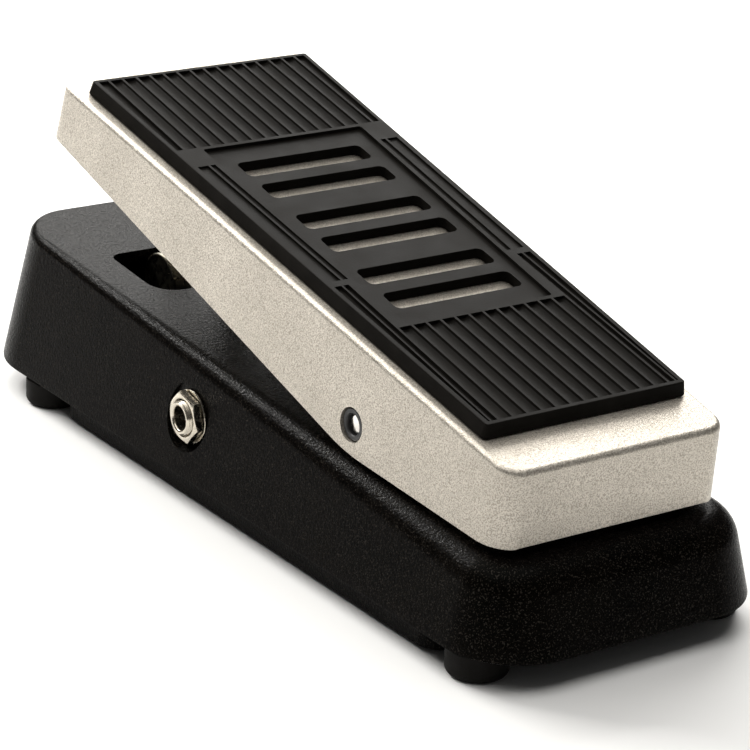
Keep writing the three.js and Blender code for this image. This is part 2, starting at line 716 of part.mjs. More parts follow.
// ---------------------------------------------------------------- foot switch
function switchBody() {
  const { y, bushRadius } = SWITCH;
  const lugs = [-6, 0, 6].flatMap((x) =>
    [-3.5, 3.5].map((dy) => solid(box([x - 1, x + 1], [y + dy - 0.4, y + dy + 0.4], [23.5, 28.5]))),
  );
  return cut(
    joined(
      solid(box([-8.5, 8.5], [y - 8.5, y + 8.5], [28, 41])),
      solid(rod("z", bushRadius, [40, 51.5], 0, y, 24)),
      ...lugs,
    ),
    solid(rod("z", 4.4, [43.4, 60], 0, y, 24)),
  );
}

function switchPlunger() {
  const top = SWITCH.plungerTop;
  return turned(
    "z",
    [
      [0, 47.2],
      [4.1, 47.2],
      [4.1, 55.4],
      [5, 55.4],
      [5, top - 1],
      [4, top],
      [0, top],
    ],
    0,
    SWITCH.y,
    24,
  );
}

// ---------------------------------------------------------------- jacks and power inlet
// Each is drawn for the +X side and mirrored for the other by its side.
const sided = (side, low, high) => (side < 0 ? [-high, -low] : [low, high]);

function jackBody(side) {
  const { y, z, boreRadius } = JACK;
  const block = solid(box(sided(side, 17, 39.2), [y - 9, y + 9], [z - 8, z + 8]));
  const bush = solid(rod("x", 4.7, sided(side, 39, 47.6), y, z, 24));
  const bore = solid(rod("x", boreRadius, sided(side, 18.5, 60), y, z, 20));
  const tongue = [-5, 0, 5].map((dy) =>
    solid(box(sided(side, 12.5, 17.5), [y + dy - 1.2, y + dy + 1.2], [z - 0.4, z + 0.4])),
  );
  return cut(joined(block, bush, ...tongue), bore);
}

function inletBody() {
  const { y, z } = INLET;
  const block = solid(box([27, 39.2], [y - 6, y + 6], [z - 6, z + 5]));
  const bush = solid(rod("x", 4, [39, 44.6], y, z, 24));
  const bore = solid(rod("x", 2.9, [30, 50], y, z, 18));
  const pin = solid(rod("x", 1, [29, 43], y, z, 12));
  return joined(cut(joined(block, bush), bore), pin);
}

// ---------------------------------------------------------------- circuit board, battery and leads
const BOARD_TOP = BOARD.bottom + BOARD.thickness;

function circuitBoard() {
  const plate = solid(box([-BOARD.half, BOARD.half], [BOARD.heel, BOARD.toe], [BOARD.bottom, BOARD_TOP]));
  const holes = [-1, 1].map((side) =>
    solid(rod("z", 1.9, [BOARD.bottom - 1, BOARD_TOP + 1], side * BOARD.screwX, BOARD.screwY, 12)),
  );
  return cut(plate, ...holes);
}

// A part that hangs under the board by its leads: a can or a drum with its top close to the board.
const drum = (radius, height, x, y, sides = 16) =>
  rod("z", radius, [BOARD.bottom - GAP - height, BOARD.bottom - GAP], x, y, sides);

function transistor(x, y) {
  const half = new THREE.Shape();
  half.absarc(0, 0, 2.4, -Math.PI * 0.8, -Math.PI * 0.2, true);
  const body = extruded("z", half, [0, 4.6], 5);
  return body.translate(x, y, BOARD.bottom - 6.5);
}

function lead(points, radius, steps) {
  const path = new THREE.CatmullRomCurve3(points.map((p) => new THREE.Vector3(...p)));
  const section = new THREE.Shape();
  section.absarc(0, 0, radius, 0, Math.PI * 2, false);
  return new THREE.ExtrudeGeometry(section, { steps, extrudePath: path, curveSegments: 4 });
}

// ---------------------------------------------------------------- put together
add("base_casting", baseCasting(), wrinklePaint);
add("bottom_cover", bottomCover(), wrinklePaint);
for (const place of FEET) {
  add(`foot_${place.name}`, foot(place), blackRubber);
  add(`foot_screw_${place.name}`, panScrew("z", 3, 3.1, 1.8, 1.7, 17.5, place.x, place.y), zincSteel);
}

add("treadle_casting", treadleCasting(), satinNickel, treadle);
add("tread_pad", treadPad(), blackRubber, treadle);
add("pivot_bush_left", pivotBush(-1), blackPlastic, treadle);
add("pivot_bush_right", pivotBush(1), blackPlastic, treadle);
add(
  "rack_pin",
  turned(
    "x",
    [
      [0, RACK_EARS[0] - 1.5],
      [2.2, RACK_EARS[0] - 1.5],
      [2.2, RACK_EARS[0] - GAP],
      [RACK_PIN.radius, RACK_EARS[0] - GAP],
      [RACK_PIN.radius, RACK_EARS[1] + 5.4],
      [0, RACK_EARS[1] + 5.4],
    ],
    RACK_PIN.u,
    RACK_PIN.w,
    14,
  ),
  zincSteel,
  treadle,
);
const clipSpan = [RACK_EARS[1] + 3.4, RACK_EARS[1] + 4.3];
add(
  "rack_pin_clip",
  washer("x", 2.6, RACK_PIN.radius + GAP, clipSpan, RACK_PIN.u, RACK_PIN.w),
  zincSteel,
  treadle,
);
const bumperTop = TREADLE.top - TREADLE.wall - GAP;
add("toe_bumper", rod("z", 5.5, [bumperTop - 3, bumperTop], 0, 143.1), blackRubber, treadle);

const pinSpan = [-PIVOT.pinEnd, PIVOT.pinEnd];
const setScrewSpan = [PIVOT.y + PIVOT.pinRadius + GAP, PIVOT.y + 9];
add("pivot_pin", rod("x", PIVOT.pinRadius, pinSpan, PIVOT.y, PIVOT.z), brightNickel);
add("pivot_set_screw", rod("y", 2, setScrewSpan, PIVOT.z, 24, 12), zincSteel);
[
  ["left", -18],
  ["right", 18],
].forEach(([side, x]) => {
  const bumper = new THREE.Group();
  bumper.position.set(x, -99.4, baseTop(-99.4));
  bumper.rotation.x = Math.atan(BASE_SLOPE);
  pedal.add(bumper);
  add(`heel_bumper_${side}`, rod("z", 5.5, [GAP, 4.7], 0, 0, 18), blackRubber, bumper);
});

add("rack", rack(), whiteNylon, rackGroup);
add("rack_guide", rackGuide(), blackPlastic, rackGroup);
add("pinion", pinion(), brass, pinionGroup);
add("pinion_set_screw", rod("z", 1, [3.2, 6], RACK_X + 6, 0, 10), zincSteel, pinionGroup);
add("pot_shaft", rod("x", 2.5, [-8.6, RACK_X + 8], 0, 0, 16), brightNickel, pinionGroup);
add("pot_body", potBody(), zincSteel);
add("pot_bracket", potBracket(), zincSteel);
add("pot_washer", washer("x", 5.6, 3.8, [-6.9, -6.3], POT.y, POT.z), zincSteel);
add("pot_nut", hexNut("x", 10, 3.8, [-6, -4], POT.y, POT.z), brightNickel);
BRACKET_SCREWS.forEach((x, i) => {
  add(`bracket_screw_${i + 1}`, panScrew("z", 3, 36.2, 1.8, 1.5, 4, x, BRACKET.screwY), zincSteel);
});
add("guide_screw", panScrew("x", 2.4, -9, 1.4, 1.1, 5, GUIDE_SCREW.y, GUIDE_SCREW.z), zincSteel);

add("switch_body", switchBody(), blackPlastic);
add("switch_plunger", switchPlunger(), brightNickel);
add("switch_lock_washer", washer("z", 8.2, 6.2, [41.3, 42.3], 0, SWITCH.y), zincSteel);
add("switch_washer", washer("z", 7.2, 6.2, [45.3, 46], 0, SWITCH.y), zincSteel);
add("switch_nut", hexNut("z", 12.6, 6.2, [46.3, 48.7], 0, SWITCH.y), brightNickel);

for (const [name, side] of [
  ["output", -1],
  ["input", 1],
]) {
  add(`${name}_jack`, jackBody(side), brightNickel);
  add(`${name}_jack_washer`, washer("x", 7.4, 5, sided(side, 43.2, 43.8), JACK.y, JACK.z), brightNickel);
  add(`${name}_jack_nut`, hexNut("x", 12.7, 5, sided(side, 44.1, 46.4), JACK.y, JACK.z), brightNickel);
}
add("power_inlet", inletBody(), blackPlastic);
add("power_inlet_nut", hexNut("x", 10.5, 4.3, [42.9, 44.4], INLET.y, INLET.z), blackPlastic);

add("circuit_board", circuitBoard(), greenBoard);
for (const [side, x] of [
  ["left", -BOARD.screwX],
  ["right", BOARD.screwX],
]) {
  const screw = panScrew("z", 2.8, BOARD.bottom - GAP, 1.7, 1.3, 4.6, x, BOARD.screwY);
  add(`board_screw_${side}`, screw, zincSteel);
}
add("inductor", drum(7, 9, 12, -44, 20), redFilm);
add("capacitor_large", drum(4, 11, -10, -20), batteryJacket);
add("capacitor_small", drum(2.6, 7, 4, -18), redFilm);
add("transistor_input", transistor(-8, -42), blackPlastic);
add("transistor_output", transistor(-8, -52), blackPlastic);

const batteryTop = BATTERY.bottom + BATTERY.z;
const batteryY = [BATTERY.middleY - BATTERY.y / 2, BATTERY.middleY + BATTERY.y / 2];
add("battery", box([-BATTERY.x / 2, BATTERY.x / 2], batteryY, [BATTERY.bottom, batteryTop]), batteryJacket);
add(
  "battery_snap",
  box([BATTERY.x / 2 + GAP, BATTERY.x / 2 + 4], batteryY.map((y, i) => y + (i ? -2 : 2)), [5, 19]),
  blackPlastic,
);
add(
  "battery_foam",
  box([-18, 18], [BATTERY.middleY - 8, BATTERY.middleY + 8], [batteryTop + GAP, baseCeiling(-92) - 0.6]),
  greyFoam,
);

add(
  "battery_leads",
  lead(
    [
      [26.6, -70.8, 12],
      [27, -68, 13],
      [24, -64, 17],
      [19, -60, 21],
      [17, -57, 24],
      [17, -56, 26.6],
    ],
    1.1,
    20,
  ),
  redFilm,
);
add(
  "pot_leads",
  lead(
    [
      [-11, 69, 22.8],
      [-11, 62, 22.5],
      [-10, 48, 24],
      [-8, 30, 26],
      [-6, 8, 25.5],
      [-6, -6, 25],
      [-6, -11, 26.4],
    ],
    1.3,
    26,
  ),
  greyFoam,
);
add(
  "switch_leads",
  lead(
    [
      [2.5, 87, 22.6],
      [4, 80, 20],
      [14, 66, 18],
      [14, 40, 20],
      [10, 16, 22.5],
      [9, 0, 24],
      [9, -10, 26.2],
    ],
    1.5,
    28,
  ),
  greyFoam,
);

export default pedal;
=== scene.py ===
import math

import bmesh
import bpy
from mathutils import Matrix, Vector


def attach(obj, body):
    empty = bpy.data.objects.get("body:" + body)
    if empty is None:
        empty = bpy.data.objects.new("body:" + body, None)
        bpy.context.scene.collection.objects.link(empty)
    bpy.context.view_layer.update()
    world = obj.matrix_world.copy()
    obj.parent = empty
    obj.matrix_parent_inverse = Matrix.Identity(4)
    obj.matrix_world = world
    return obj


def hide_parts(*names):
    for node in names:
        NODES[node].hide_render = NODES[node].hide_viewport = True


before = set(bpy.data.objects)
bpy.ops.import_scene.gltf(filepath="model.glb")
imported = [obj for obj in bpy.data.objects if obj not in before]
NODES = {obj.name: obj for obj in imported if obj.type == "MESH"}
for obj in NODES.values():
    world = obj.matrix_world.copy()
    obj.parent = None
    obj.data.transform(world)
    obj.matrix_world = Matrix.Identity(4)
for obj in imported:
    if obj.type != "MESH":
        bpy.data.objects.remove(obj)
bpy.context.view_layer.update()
MM = 0.001

# ---------------------------------------------------------------- dimensions, in millimetres
BASE = dict(
    length=252,
    toe_half=51,
    heel_half=45,
    toe_height=40.3,
    heel_height=21.4,
    side_draft=0.227,
    toe_draft=0.144,
    heel_draft=0.3,
    toe_radius=26,
    heel_radius=20,
    toe_edge=2.2,
    heel_edge=6.5,
    wall=3,
    bottom=7.5,
)
SLOPE = (BASE["toe_height"] - BASE["heel_height"]) / BASE["length"]
MIDDLE = (BASE["toe_height"] + BASE["heel_height"]) / 2
EDGE_TURN = (30, -100)  # y where the base's top edge starts to grow rounder, and where it stops
OPENING = dict(half=29, heel=55, toe=83.8, heel_corner=8, toe_corner=3.5)
POST = dict(x=25, y=-34, radius=3.5, bottom=29.9)
FOOT_BOSS = dict(radius=5.5, rise=1.5, bore=2, bore_top=23)
SINK = 0.6  # how far a boss runs into the wall that it hangs from
THROUGH = 40  # half the length of a cutter that goes right through
OUTSIDE = 60  # farther out, and farther up, than any wall

PIVOT = Vector((0, -51.6, 43.7))
REST_ANGLE = math.radians(11.5)
TREADLE = dict(
    toe=153,
    heel=-58.5,
    toe_half=40,
    heel_half=34,
    top=21.1,
    draft=0.066,
    heel_draft=0.15,
    toe_radius=5,
    heel_radius=6,
    edge=1.5,
    wall=3,
    toe_skirt=5.02,
    pivot_skirt=-7.92,
    heel_skirt=0.8,
)
PIN_HOLE = 2.8
BUSH_BORE = 4.6
BUSH_BOSS = 7.5
RACK_PIN = dict(u=114, w=9, hole=1.6, ears=(-4.4, 5.4), ear_width=3)
PAD = dict(toe=144.2, heel=-43.7, toe_half=36.2, heel_half=31.6, bottom=21.4, top=25.2)
PANEL = dict(toe=99, heel=3.6, toe_half=25.8, heel_half=23.2, depth=1.0)
RIB = dict(pitch=4.4, width=0.75, toe_count=7, heel_count=6)  # the counts are of flutes on each side
HALF_RIB = RIB["width"] / 2
FLUTE_DEPTH = 1.05
PAD_DRAFT = 0.2
PAD_HEIGHT = PAD["top"] - PAD["bottom"]
BORDER = 1.3
SLOT = dict(half_width=3.9, half_length=20, corner=1.8, step=6.2, groups=(81, 51.3, 21.6))

POT = dict(y=74.7, z=37.5)
JACK = dict(y=13.5, z=23.5, face=42.9, seat=9.4, hole=5, washer=(43.2, 43.8), nut=(44.1, 46.4), flats=12.7)
INLET = dict(y=-22, z=20.5, face=42.6, seat=7, hole=4.3)
SWITCH = dict(y=91.5, hole=6.2, seat=7.6, seat_height=45, room=9.2, room_top=42.9, flats=12.6)
FEET = {
    "heel_left": (-36.3, -108.3),
    "heel_right": (36.3, -108.3),
    "toe_left": (-42.5, 90.5),
    "toe_right": (42.5, 90.5),
}


def base_top(y):
    return BASE["bottom"] + MIDDLE + SLOPE * y


TO_TREADLE = Matrix.Translation(PIVOT * MM) @ Matrix.Rotation(REST_ANGLE, 4, "X")


# ---------------------------------------------------------------- mesh making
def mesh_object(name, verts, faces):
    mesh = bpy.data.meshes.new(name)
    mesh.from_pydata([Vector(v) * MM for v in verts], [], faces)
    mesh.validate()
    obj = bpy.data.objects.new(name, mesh)
    bpy.context.scene.collection.objects.link(obj)
    return obj


def outline(toe, heel, toe_half, heel_half, toe_radius, heel_radius, segments=8):
    """Points of a tapered plate's edge, anticlockwise from above, each with its outward normal."""
    points = []
    for side_x, side_y, start in ((1, 1, 0), (-1, 1, 90), (-1, -1, 180), (1, -1, 270)):
        radius = toe_radius if side_y > 0 else heel_radius
        centre_y = toe - radius if side_y > 0 else heel + radius
        for i in range(segments + 1):
            angle = math.radians(start + 90 * i / segments)
            nx, ny = math.cos(angle), math.sin(angle)
            y = centre_y + radius * ny
            half = heel_half + (toe_half - heel_half) * (y - heel) / (toe - heel)
            points.append((side_x * (half - radius) + radius * nx, y, nx, ny))
    return points


def flat_ring(points, inset, z):
    return [(x - inset * nx, y - inset * ny, z) for x, y, nx, ny in points]


def lofted(name, rings):
    """A closed solid through rings of the same count, lowest first, each end closed by one face."""
    count = len(rings[0])
    verts = [p for ring in rings for p in ring]
    faces = []
    for level in range(len(rings) - 1):
        for i in range(count):
            a, b = level * count + i, level * count + (i + 1) % count
            faces.append((a, b, b + count, a + count))
    last = (len(rings) - 1) * count
    faces.append(tuple(reversed(range(count))))
    faces.append(tuple(range(last, last + count)))
    return mesh_object(name, verts, faces)


def prism(name, axis, points, low, high):
    """A flat outline, in the two axes that follow in X, Y, Z order, pushed out along an axis."""
    order = {"x": (1, 2, 0), "y": (2, 0, 1), "z": (0, 1, 2)}[axis]
    area = sum(a[0] * b[1] - b[0] * a[1] for a, b in zip(points, points[1:] + points[:1]))
    if area < 0:
        points = points[::-1]
    verts = []
    for along in (low, high):
        for a, b in points:
            v = [0, 0, 0]
            v[order[0]], v[order[1]], v[order[2]] = a, b, along
            verts.append(v)
    n = len(points)
    faces = [(i, (i + 1) % n, n + (i + 1) % n, n + i) for i in range(n)]
    faces += [tuple(reversed(range(n))), tuple(range(n, 2 * n))]
    return mesh_object(name, verts, faces)


def circle(radius, a, b, sides):
    steps = (2 * math.pi * i / sides for i in range(sides))
    return [(a + radius * math.cos(t), b + radius * math.sin(t)) for t in steps]


def rod(name, axis, radius, low, high, a, b, sides):
    return prism(name, axis, circle(radius, a, b, sides), low, high)


def slab(name, x, y, z):
    return prism(name, "z", [(x[0], y[0]), (x[1], y[0]), (x[1], y[1]), (x[0], y[1])], z[0], z[1])


def turned(name, axis, profile, a, b, sides, place=None):
    """A solid of revolution about a line along an axis, from (radius, along) points. It may have a bore."""
    order = {"x": (1, 2, 0), "y": (2, 0, 1), "z": (0, 1, 2)}[axis]
    bm = bmesh.new()
    rings = []
    for radius, along in profile:
        count = 1 if radius < 1e-6 else sides
        ring = []
        for i in range(count):
            t = 2 * math.pi * i / sides
            v = [0, 0, 0]
            v[order[0]] = a + radius * math.cos(t)
            v[order[1]] = b + radius * math.sin(t)
            v[order[2]] = along
            ring.append(bm.verts.new(Vector(v) * MM))
        rings.append(ring)
    pairs = list(zip(rings, rings[1:]))
    if len(rings[0]) > 1:
        pairs.append((rings[-1], rings[0]))
    for low, high in pairs:
        for i in range(sides):
            j = (i + 1) % sides
            quad = [low[i % len(low)], low[j % len(low)], high[j % len(high)], high[i % len(high)]]
            unique = list(dict.fromkeys(quad))
            if len(unique) > 2:
                bm.faces.new(unique)
    bmesh.ops.recalc_face_normals(bm, faces=bm.faces)
    mesh = bpy.data.meshes.new(name)
    bm.to_mesh(mesh)
    bm.free()
    if place is not None:
        mesh.transform(place)
    obj = bpy.data.objects.new(name, mesh)
    bpy.context.scene.collection.objects.link(obj)
    return obj


def baked(obj):
    """Applies the object's modifiers to its mesh."""
    bpy.context.view_layer.update()
    made = bpy.data.meshes.new_from_object(obj.evaluated_get(bpy.context.evaluated_depsgraph_get()))
    old = obj.data
    obj.modifiers.clear()
    obj.data = made
    made.name = obj.name
    bpy.data.meshes.remove(old)
    return obj


def merged(body, tools, operation):
    """Joins the tools to the body, cuts them from it, or keeps what is common. The tools are used up."""
    for tool in tools:
        step = body.modifiers.new("step", "BOOLEAN")
        step.operation = operation
        step.object = tool
        step.solver = "EXACT"
    baked(body)
    for tool in tools:
        mesh = tool.data
        bpy.data.objects.remove(tool)
        bpy.data.meshes.remove(mesh)
    return body


def cut(body, tools):
    return merged(body, tools, "DIFFERENCE")


def joined(body, tools):
    return merged(body, tools, "UNION")


def smooth(obj, angle=30):
    """Smooth shading with crisp corners; wide flats keep their own normal beside small rounds."""
    mesh = obj.data
    for polygon in mesh.polygons:
        polygon.use_smooth = True
    mesh.set_sharp_from_angle(angle=math.radians(angle))
    step = obj.modifiers.new("normals", "WEIGHTED_NORMAL")
    step.mode = "FACE_AREA"
    step.keep_sharp = True
    return baked(obj)


def bevelled(obj, width, segments=2, angle=35):
    step = obj.modifiers.new("edges", "BEVEL")
    step.width = width * MM
    step.segments = segments
    step.limit_method = "ANGLE"
    step.angle_limit = math.radians(angle)
    step.use_clamp_overlap = True
    step.miter_outer = "MITER_ARC"
    return baked(obj)


def cleaned(obj, distance=0.002):
    """Merges points that the cuts left on top of each other and dissolves flat leftovers."""
    bm = bmesh.new()
    bm.from_mesh(obj.data)
    bmesh.ops.remove_doubles(bm, verts=bm.verts, dist=distance * MM)
    bmesh.ops.dissolve_degenerate(bm, edges=bm.edges, dist=distance * MM)
    bm.to_mesh(obj.data)
    bm.free()
    return obj


def placed(obj, body, material, slot, *nodes):
    """A finished piece: its material, the body it rides on, and the CAD nodes that it stands for."""
    obj.data.materials.clear()
    obj.data.materials.append(material)
    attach(obj, body)
    if nodes:
        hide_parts(*nodes)
    return obj


# ---------------------------------------------------------------- materials
def rgb(r, g, b):
    return (r, g, b, 1)


class Finish:
    """A Principled material built node by node. Sizes and depths are in millimetres."""

    def __init__(self, name, color, roughness, metallic=0.0, specular=0.5):
        self.material = bpy.data.materials.new(name)
        self.material.use_nodes = True
        self.tree = self.material.node_tree
        self.shader = self.tree.nodes["Principled BSDF"]
        self.set("Base Color", color)
        self.set("Roughness", roughness)
        self.set("Metallic", metallic)
        self.set("Specular IOR Level", specular)
        self.place = self.add("ShaderNodeTexCoord").outputs["Object"]

    def add(self, kind):
        return self.tree.nodes.new(kind)

    def link(self, source, target):
        self.tree.links.new(source, target)

    def set(self, socket, value):
        self.shader.inputs[socket].default_value = value

    def stretched(self, scale):
        node = self.add("ShaderNodeMapping")
        node.inputs["Scale"].default_value = scale
        self.link(self.place, node.inputs["Vector"])
        return node.outputs["Vector"]

    def noise(self, size, detail=3, roughness=0.5, place=None):
        node = self.add("ShaderNodeTexNoise")
        node.inputs["Scale"].default_value = 1000 / size
        node.inputs["Detail"].default_value = detail
        node.inputs["Roughness"].default_value = roughness
        self.link(place or self.place, node.inputs["Vector"])
        return node.outputs["Fac"]

    def cells(self, size):
        node = self.add("ShaderNodeTexVoronoi")
        node.inputs["Scale"].default_value = 1000 / size
        self.link(self.place, node.inputs["Vector"])
        return node.outputs["Distance"]

    def span(self, value, low, high, to_low, to_high):
        """Stretches low to high onto to_low to to_high, and holds the value at both ends."""
        node = self.add("ShaderNodeMapRange")
        numbers = {"From Min": low, "From Max": high, "To Min": to_low, "To Max": to_high}
        for socket, number in numbers.items():
            node.inputs[socket].default_value = number
        self.link(value, node.inputs["Value"])
        return node.outputs["Result"]

    def math(self, operation, a, b):
        node = self.add("ShaderNodeMath")
        node.operation = operation
        for socket, value in zip(node.inputs, (a, b)):
            if isinstance(value, (int, float)):
                socket.default_value = value
            else:
                self.link(value, socket)
        return node.outputs["Value"]

    def mix(self, amount, a, b):
        node = self.add("ShaderNodeMix")
        node.data_type = "RGBA"
        for name, value in (("Factor", amount), ("A", a), ("B", b)):
            socket = next(s for s in node.inputs if s.name == name and s.enabled)
            if hasattr(value, "links"):
                self.link(value, socket)
            else:
                socket.default_value = value
        return next(s for s in node.outputs if s.enabled)

    def color(self, value):
        self.link(value, self.shader.inputs["Base Color"])
        return self

    def rough(self, value):
        self.link(value, self.shader.inputs["Roughness"])
        return self

    def bump(self, height, depth):
        """Raises the surface by up to depth where height is 1."""
        node = self.add("ShaderNodeBump")
        node.inputs["Distance"].default_value = depth * MM
        node.inputs["Strength"].default_value = 1
        self.link(height, node.inputs["Height"])
        self.link(node.outputs["Normal"], self.shader.inputs["Normal"])
        return self


def wrinkle_coat():
    """Thick black powder coat: a fine hard grit, with painted glints: pale flecks in its colour that stand
    for the grit's tips catching the light.
    """
    f = Finish("wrinkle_coat", rgb(0.004, 0.004, 0.0038), 0.25, specular=0.024)
    grit = f.noise(0.8, detail=2, roughness=0.6)
    glint_fleck = f.noise(0.42, detail=1, roughness=0.5)
    broad = f.noise(14, detail=2)
    f.bump(grit, 0.15)
    f.rough(f.span(glint_fleck, 0.4, 0.6, 0.36, 0.13))
    darkest, dark, painted_glint = rgb(0.0008, 0.0006, 0.0004), rgb(0.0018, 0.0014, 0.0010), rgb(0.026, 0.0225, 0.019)
    ground = f.mix(f.span(broad, 0.35, 0.65, 0, 1), darkest, dark)
    # The pale flecks are painted glints, a painted highlight in the colour rather than a colour of the coat.
    f.color(f.mix(f.span(glint_fleck, 0.56, 0.7, 0, 1), ground, painted_glint))
    return f.material


def cast_nickel():
    """Satin nickel over a fine-grained casting, a little warm, with faint clouding."""
    f = Finish("cast_nickel", rgb(0.58, 0.54, 0.48), 0.48, metallic=0.75, specular=0.5)
    fine = f.noise(0.8, detail=3, roughness=0.7)
    grit = f.noise(0.36, detail=1)
    cloud = f.noise(22, detail=3)
    f.bump(f.math("ADD", fine, f.math("MULTIPLY", grit, 0.6)), 0.11)
    f.rough(f.span(fine, 0.35, 0.65, 0.36, 0.56))
    tone = f.mix(f.span(cloud, 0.35, 0.7, 0, 1), rgb(0.65, 0.602, 0.53), rgb(0.57, 0.527, 0.46))
    f.color(f.mix(f.span(grit, 0.36, 0.6, 0.75, 0), tone, rgb(0.27, 0.24, 0.2)))
    return f.material


def tread_rubber():
    """Moulded black rubber, slightly dusty, with the fine skin of its mould."""
    f = Finish("tread_rubber", rgb(0.016, 0.0155, 0.015), 0.45, specular=0.02)
    skin = f.noise(0.5, detail=3)
    dust = f.noise(9, detail=4, roughness=0.6)
    f.bump(skin, 0.03)
    f.color(f.mix(f.span(dust, 0.4, 0.75, 0, 1), rgb(0.007, 0.0062, 0.0052), rgb(0.012, 0.0108, 0.0093)))
    f.rough(f.span(dust, 0.3, 0.7, 0.38, 0.52))
    return f.material


def plain_rubber():
    """Dull black rubber."""
    f = Finish("foot_rubber", rgb(0.006, 0.0054, 0.0046), 0.5, specular=0.08)
    f.bump(f.noise(0.5, detail=4), 0.03)
    f.rough(f.span(f.noise(4), 0.3, 0.7, 0.5, 0.7))
    return f.material


def bright_plate(name, color, roughness, scratch=(1, 1, 1)):
    """Plated or bare metal with faint smears. The scratch scales squeeze them along an axis."""
    f = Finish(name, rgb(*color), roughness, metallic=1.0)
    smear = f.noise(1.6, detail=4, place=f.stretched(scratch))
    f.rough(f.span(smear, 0.3, 0.7, roughness * 0.8, roughness * 1.6))
    f.bump(f.noise(0.6, detail=2, place=f.stretched(scratch)), 0.006)
    dark = tuple(c * 0.72 for c in color)
    f.color(f.mix(f.span(f.noise(5), 0.45, 0.8, 0, 1), rgb(*color), rgb(*dark)))
    return f.material


def moulded(name, color, roughness=0.45):
    """Plastic, with the faint unevenness of its mould."""
    f = Finish(name, rgb(*color), roughness, specular=0.45)
    f.bump(f.noise(0.35, detail=3), 0.012)
    light = tuple(min(1, c * 1.35 + 0.004) for c in color)
    f.color(f.mix(f.span(f.noise(6, detail=3), 0.4, 0.7, 0, 1), rgb(*color), rgb(*light)))
    f.rough(f.span(f.noise(2.5), 0.3, 0.7, roughness * 0.85, roughness * 1.2))
    return f.material


def laminate():
    """Green circuit laminate with its woven glass just showing."""
    f = Finish("laminate", rgb(0.02, 0.10, 0.045), 0.35, specular=0.5)
    warp = f.noise(0.5, place=f.stretched((1, 8, 1)))
    weft = f.noise(0.5, place=f.stretched((8, 1, 1)))
    weave = f.math("ADD", warp, weft)
    f.color(f.mix(f.span(weave, 0.8, 1.2, 0, 1), rgb(0.016, 0.085, 0.038), rgb(0.03, 0.13, 0.06)))
    f.bump(weave, 0.01)
    return f.material


def open_foam():
    """Grey foam with open pores, their hollows darker in the colour: painted shade."""
    f = Finish("open_foam", rgb(0.06, 0.06, 0.062), 0.9, specular=0.2)
    pores = f.cells(0.9)
    f.bump(pores, 0.4)
    # Darker towards each pore's middle, where the bump sinks it: painted shade in the hollows.
    f.color(f.mix(pores, rgb(0.02, 0.02, 0.02), rgb(0.10, 0.10, 0.105)))
    return f.material


M = {
    "coat": wrinkle_coat(),
    "nickel_cast": cast_nickel(),
    "tread": tread_rubber(),
    "rubber": plain_rubber(),
    "bright": bright_plate("bright_nickel", (0.80, 0.77, 0.72), 0.14),
    "pot_can": bright_plate("pot_can", (0.24, 0.22, 0.17), 0.26),
    "jack_plate": bright_plate("jack_plate", (0.60, 0.55, 0.46), 0.2),
    "steel": bright_plate("zinc_steel", (0.52, 0.53, 0.54), 0.32, (1, 6, 1)),
    "brass": bright_plate("brass", (0.60, 0.43, 0.16), 0.26),
    "black_plastic": moulded("black_plastic", (0.014, 0.014, 0.015)),
    "nylon": moulded("nylon", (0.62, 0.60, 0.53), 0.4),
    "laminate": laminate(),
    "red": moulded("red_film", (0.25, 0.03, 0.02), 0.3),
    "blue": moulded("blue_sleeve", (0.02, 0.045, 0.16), 0.3),
    "battery": moulded("battery_jacket", (0.03, 0.04, 0.06), 0.28),
    "foam": open_foam(),
    "leads": moulded("lead_jacket", (0.035, 0.035, 0.037), 0.5),
}


# ---------------------------------------------------------------- base
def base_ring(points, inset, height=None, drop=0.0):
    """A level ring at a height above the lower rim or, with no height, one that follows the sloping top."""
    ring = []
    for x, y, nx, ny in points:
        draft_x = BASE["side_draft"] * nx
        draft_y = (BASE["toe_draft"] if ny > 0 else BASE["heel_draft"]) * ny
        full = (MIDDLE + SLOPE * (y - inset * ny) - drop) / (1 + SLOPE * draft_y)
        rise = full if height is None else height
        in_x, in_y = draft_x * rise + inset * nx, draft_y * rise + inset * ny
        ring.append((x - in_x, y - in_y, BASE["bottom"] + rise))
    return ring


def edge_radius(y):
    """The top edge is crisp at the toe and grows rounder towards the heel."""
    start, stop = EDGE_TURN
    share = min(1, max(0, (start - y) / (start - stop)))
    return BASE["toe_edge"] + (BASE["heel_edge"] - BASE["toe_edge"]) * share * share * (3 - 2 * share)


def edge_ring(points, turn):
    """A ring of the rounded top edge, from the wall at turn 0 to the flat top at a right angle."""
    ring = []
    for point in points:
        radius = edge_radius(point[1])
        ring += base_ring([point], radius * (1 - math.cos(turn)), drop=radius * (1 - math.sin(turn)))
    return ring


def base_outline(segments):
    half = BASE["length"] / 2
    halves = BASE["toe_half"], BASE["heel_half"]
    return outline(half, -half, *halves, BASE["toe_radius"], BASE["heel_radius"], segments)


def rounded_polygon(corners, steps=8):
    """A polygon whose corners are (a, b, radius) and come out as arcs."""
    points = []
    n = len(corners)
    for i, (a, b, radius) in enumerate(corners):
        here = Vector((a, b))
        if radius <= 0:
            points.append((a, b))
            continue
        back = (Vector(corners[i - 1][:2]) - here).normalized()
        ahead = (Vector(corners[(i + 1) % n][:2]) - here).normalized()
        half = math.acos(max(-1, min(1, back.dot(ahead)))) / 2
        reach = radius / math.tan(half)
        centre = here + (back + ahead).normalized() * (radius / math.sin(half))
        start, end = here + back * reach - centre, here + ahead * reach - centre
        turn = math.atan2(start.x * end.y - start.y * end.x, start.dot(end))
        for k in range(steps + 1):
            t = turn * k / steps
            c, s = math.cos(t), math.sin(t)
            points.append((centre.x + start.x * c - start.y * s, centre.y + start.x * s + start.y * c))
    return points


